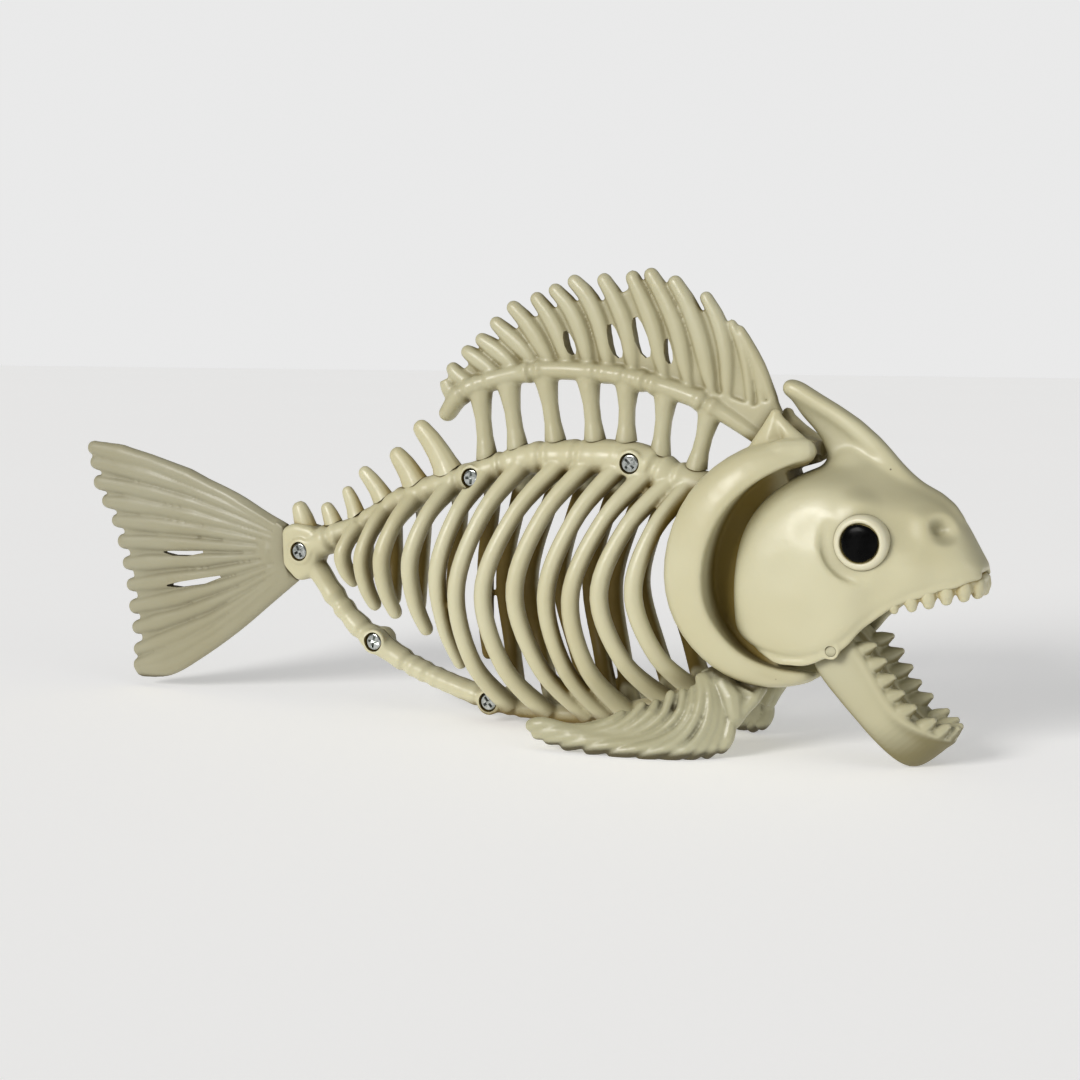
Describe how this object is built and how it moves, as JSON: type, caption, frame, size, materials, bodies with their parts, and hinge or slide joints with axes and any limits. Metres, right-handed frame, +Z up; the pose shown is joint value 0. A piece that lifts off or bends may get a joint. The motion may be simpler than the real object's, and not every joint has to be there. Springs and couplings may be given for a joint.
{
  "type": "moulded plastic fish skeleton prop",
  "caption": "Cream plastic fish skeleton prop with gaping toothed jaws, rib cage, rayed dorsal and tail fins and round white eyes with black pupils.",
  "frame": {"origin": "on the floor, under the middle of the length", "axes": "+X from the tail to the snout, +Y to the fish's left, +Z up"},
  "size_m": [0.3076, 0.063, 0.1384],
  "materials": {
    "bone_plastic": "semi-gloss cream with brown wash in the hollows",
    "tail_plastic": "semi-gloss greyish cream",
    "eye_white": "semi-gloss off-white",
    "pupil_black": "glossy black",
    "screw_steel": "bright plated"
  },
  "bodies": {
    "frame": {"trunk_right": "bone_plastic", "trunk_left": "bone_plastic", "collar_right": "bone_plastic", "collar_left": "bone_plastic", "tail_fin": "tail_plastic", "dorsal_fin": "bone_plastic", "back_spine_1": "bone_plastic", "back_spine_2": "bone_plastic", "back_spine_3": "bone_plastic", "back_spine_4": "bone_plastic", "back_spine_5": "bone_plastic", "back_spine_6": "bone_plastic", "pectoral_fin_right": "bone_plastic", "pectoral_fin_left": "bone_plastic", "skull": "bone_plastic", "eye_right": "eye_white", "eye_left": "eye_white", "pupil_right": "pupil_black", "pupil_left": "pupil_black", "upper_teeth": "bone_plastic", "neck": "bone_plastic", "screw_1": "screw_steel", "screw_2": "screw_steel", "screw_3": "screw_steel", "screw_4": "screw_steel", "screw_5": "screw_steel"},
    "jaw": {"lower_jaw": "bone_plastic"}
  },
  "joints": [
    {"name": "jaw_hinge", "type": "hinge", "parent": "frame", "child": "jaw", "pos_m": [0.11422, 0, 0.0328], "axis": [0, -1, 0], "range_deg": [0, 42]}
  ]
}
